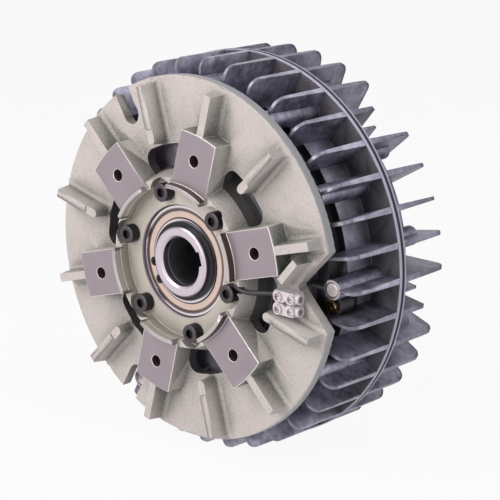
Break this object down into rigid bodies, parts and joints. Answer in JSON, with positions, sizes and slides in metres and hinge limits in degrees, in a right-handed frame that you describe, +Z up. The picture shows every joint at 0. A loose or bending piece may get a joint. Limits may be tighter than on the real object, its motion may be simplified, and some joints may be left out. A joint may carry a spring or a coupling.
{
  "type": "magnetic powder brake",
  "caption": "Naturally cooled magnetic powder brake: a ribbed mounting bracket with a still magnet core, and a finned drum that turns round it on a keyed hollow shaft.",
  "frame": {"origin": "centre of the six pad faces, on the shaft axis", "axes": "+Y runs rearwards along the shaft axis, the pads face -Y, +Z is up, +X is right of the shaft seen from the front"},
  "size_m": [0.281, 0.1335, 0.281],
  "materials": {
    "bracket_casting": "pale grey paint over an iron casting, machined pads left bare",
    "core_steel": "turned soft magnetic steel",
    "spacer_bronze": "turned bronze",
    "bobbin_plastic": "moulded glass-filled polyamide",
    "coil_winding": "varnished copper wire",
    "black_screws": "black oxide",
    "plated_screws": "zinc plate, plain heads",
    "bearing_steel": "ground",
    "bearing_balls": "polished",
    "bearing_cage": "moulded polyamide",
    "bearing_seal": "moulded nitrile rubber in a brick red",
    "circlip_steel": "phosphated spring steel",
    "lead_sheath": "black insulation",
    "terminal_plastic": "white moulded polyamide",
    "terminal_brass": "nickel-free brass",
    "terminal_screws": "zinc plate",
    "shaft_steel": "turned and ground",
    "drum_casting": "dark blue-grey anodised casting with machined edges",
    "cylinder_steel": "bored soft steel",
    "powder": "fine dry iron powder",
    "plug_brass": "dulled brass",
    "spacer_steel": "turned tube",
    "felt": "pressed wool felt"
  },
  "bodies": {
    "bracket": {"front_bracket": "bracket_casting", "magnet_core_front": "core_steel", "magnet_core_rear": "core_steel", "pole_spacer_ring": "spacer_bronze", "coil_bobbin": "bobbin_plastic", "field_coil": "coil_winding", "hub_screws": "black_screws", "core_screws": "black_screws", "front_bearing_outer_race": "bearing_steel", "front_bearing_seals": "bearing_seal", "rear_bearing_outer_race": "bearing_steel", "rear_bearing_seals": "bearing_seal", "rear_bearing_circlip": "circlip_steel", "coil_lead": "lead_sheath", "terminal_block": "terminal_plastic", "terminal_sleeves": "terminal_brass", "terminal_clamp_screws": "terminal_screws", "terminal_block_screw": "terminal_screws"},
    "rotor": {"hollow_shaft": "shaft_steel", "drum_front": "drum_casting", "drum_rear": "drum_casting", "steel_cylinder": "cylinder_steel", "magnetic_powder": "powder", "drum_screws": "plated_screws", "flange_bolts": "black_screws", "fill_plugs": "plug_brass", "front_bearing_inner_race": "bearing_steel", "rear_bearing_inner_race": "bearing_steel", "bearing_spacer": "spacer_steel", "front_circlip": "circlip_steel", "front_powder_seal": "felt", "rear_powder_seal": "felt"},
    "front_balls": {"front_bearing_balls": "bearing_balls", "front_bearing_cage": "bearing_cage"},
    "rear_balls": {"rear_bearing_balls": "bearing_balls", "rear_bearing_cage": "bearing_cage"}
  },
  "joints": [
    {"name": "shaft_spin", "type": "hinge", "parent": "bracket", "child": "rotor", "pos_m": [0, 0, 0], "axis": [0, 1, 0], "continuous": true},
    {"name": "front_balls_spin", "type": "hinge", "parent": "bracket", "child": "front_balls", "pos_m": [0, 0.0183, 0], "axis": [0, 1, 0], "continuous": true},
    {"name": "rear_balls_spin", "type": "hinge", "parent": "bracket", "child": "rear_balls", "pos_m": [0, 0.09, 0], "axis": [0, 1, 0], "continuous": true}
  ],
  "couplings": [
    {"joint": "front_balls_spin", "follows": "shaft_spin", "ratio": 0.44},
    {"joint": "rear_balls_spin", "follows": "shaft_spin", "ratio": 0.44}
  ]
}
